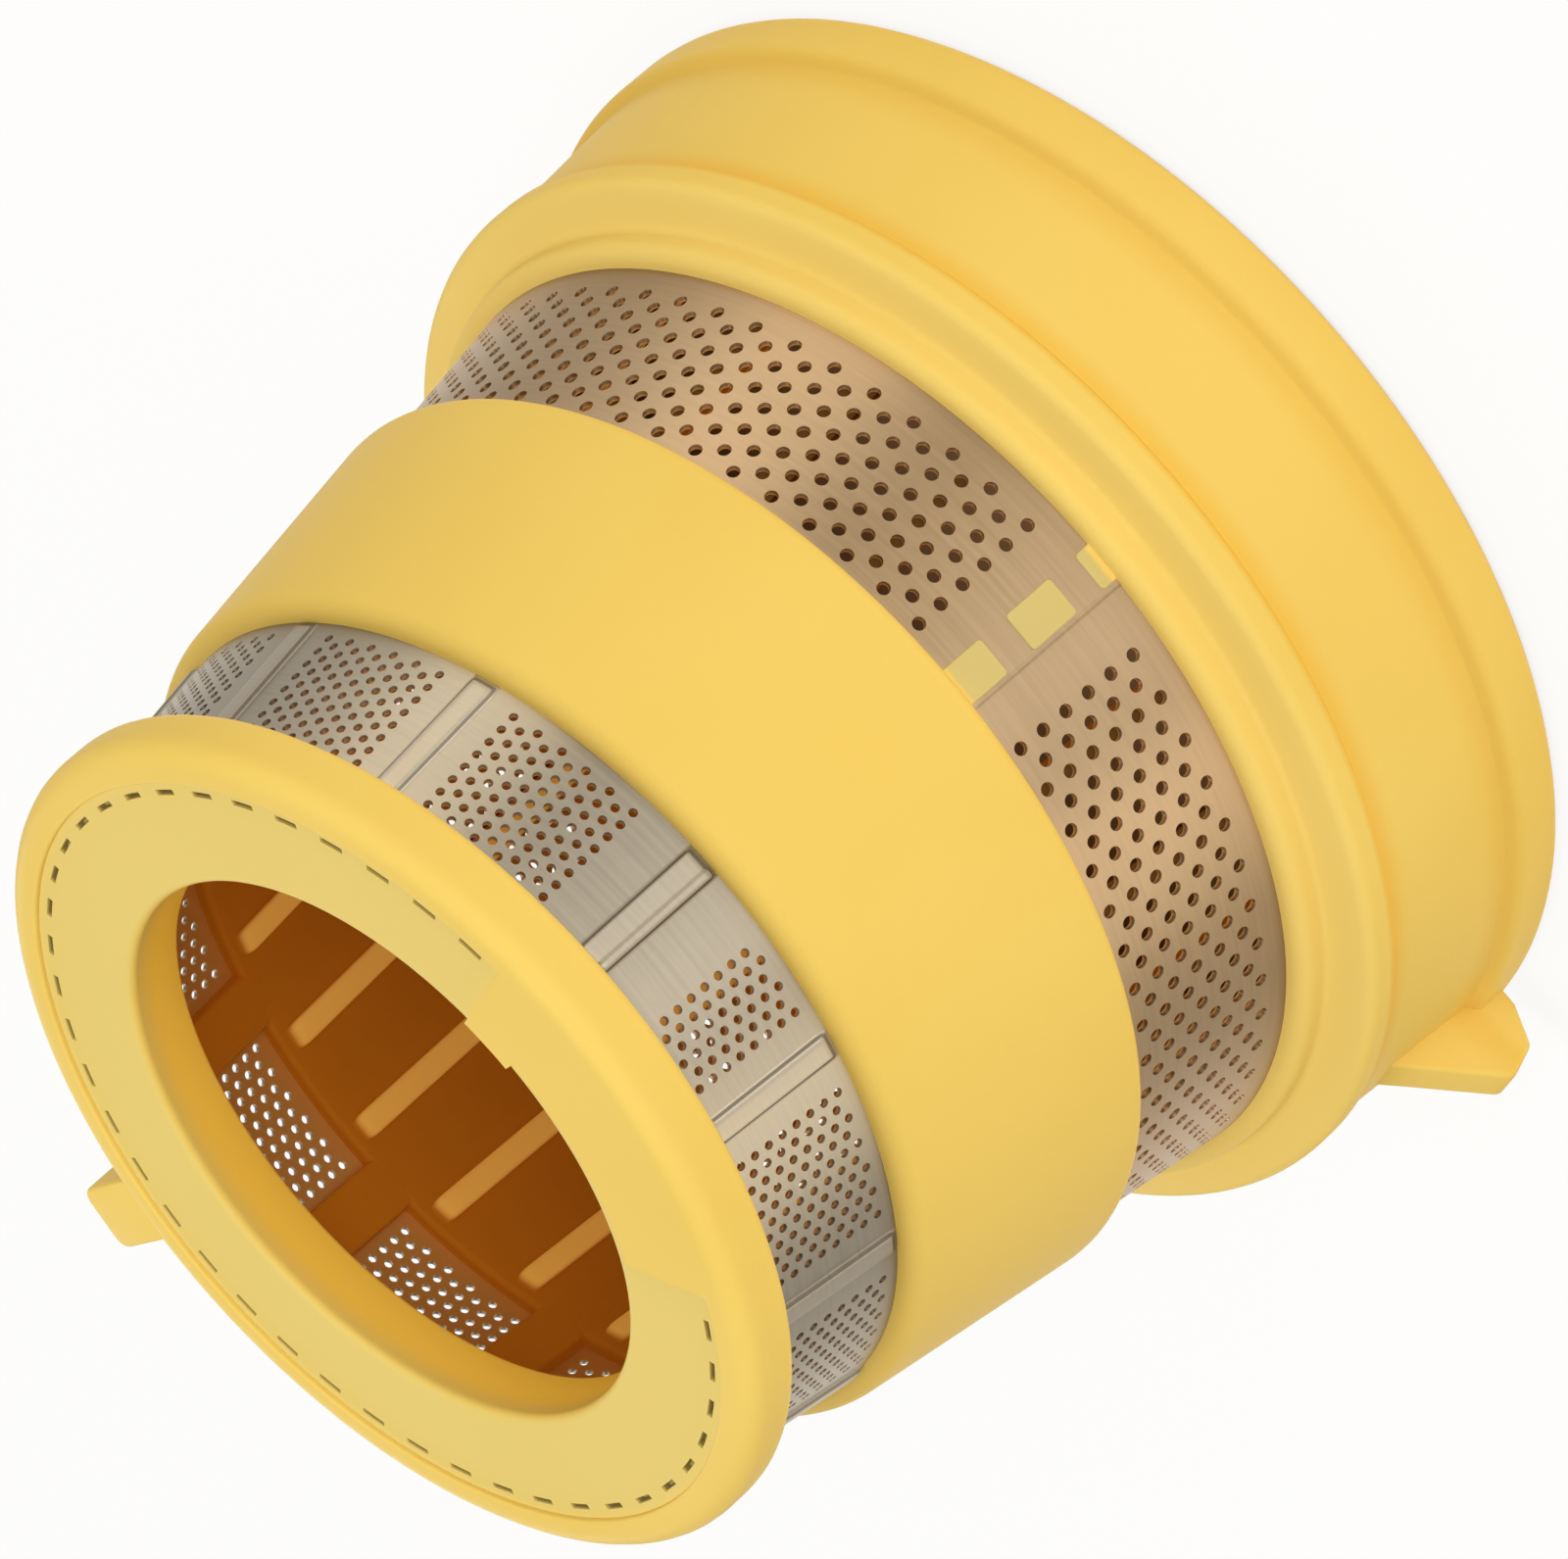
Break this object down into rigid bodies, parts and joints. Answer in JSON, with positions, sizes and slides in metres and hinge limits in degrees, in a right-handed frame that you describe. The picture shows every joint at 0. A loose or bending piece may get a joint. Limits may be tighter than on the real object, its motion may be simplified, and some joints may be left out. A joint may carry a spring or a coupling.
{
  "type": "juicer mesh screen",
  "caption": "Yellow conical strainer for a slow juicer, with a fine and a coarse perforated steel screen moulded into it.",
  "frame": {"origin": "on the axis of the strainer, in the plane of its wide mouth", "axes": "+Z along the axis from the wide mouth to the narrow foot; -Y is the side with the coarse screen's seam, the side the picture looks at"},
  "size_m": [0.1095, 0.104, 0.086],
  "materials": {
    "yellow_plastic": "satin moulded, warm yellow",
    "steel": "rolled and perforated"
  },
  "bodies": {
    "root": {"frame": "yellow_plastic", "fine_screen": "steel", "coarse_screen": "steel"}
  },
  "joints": []
}
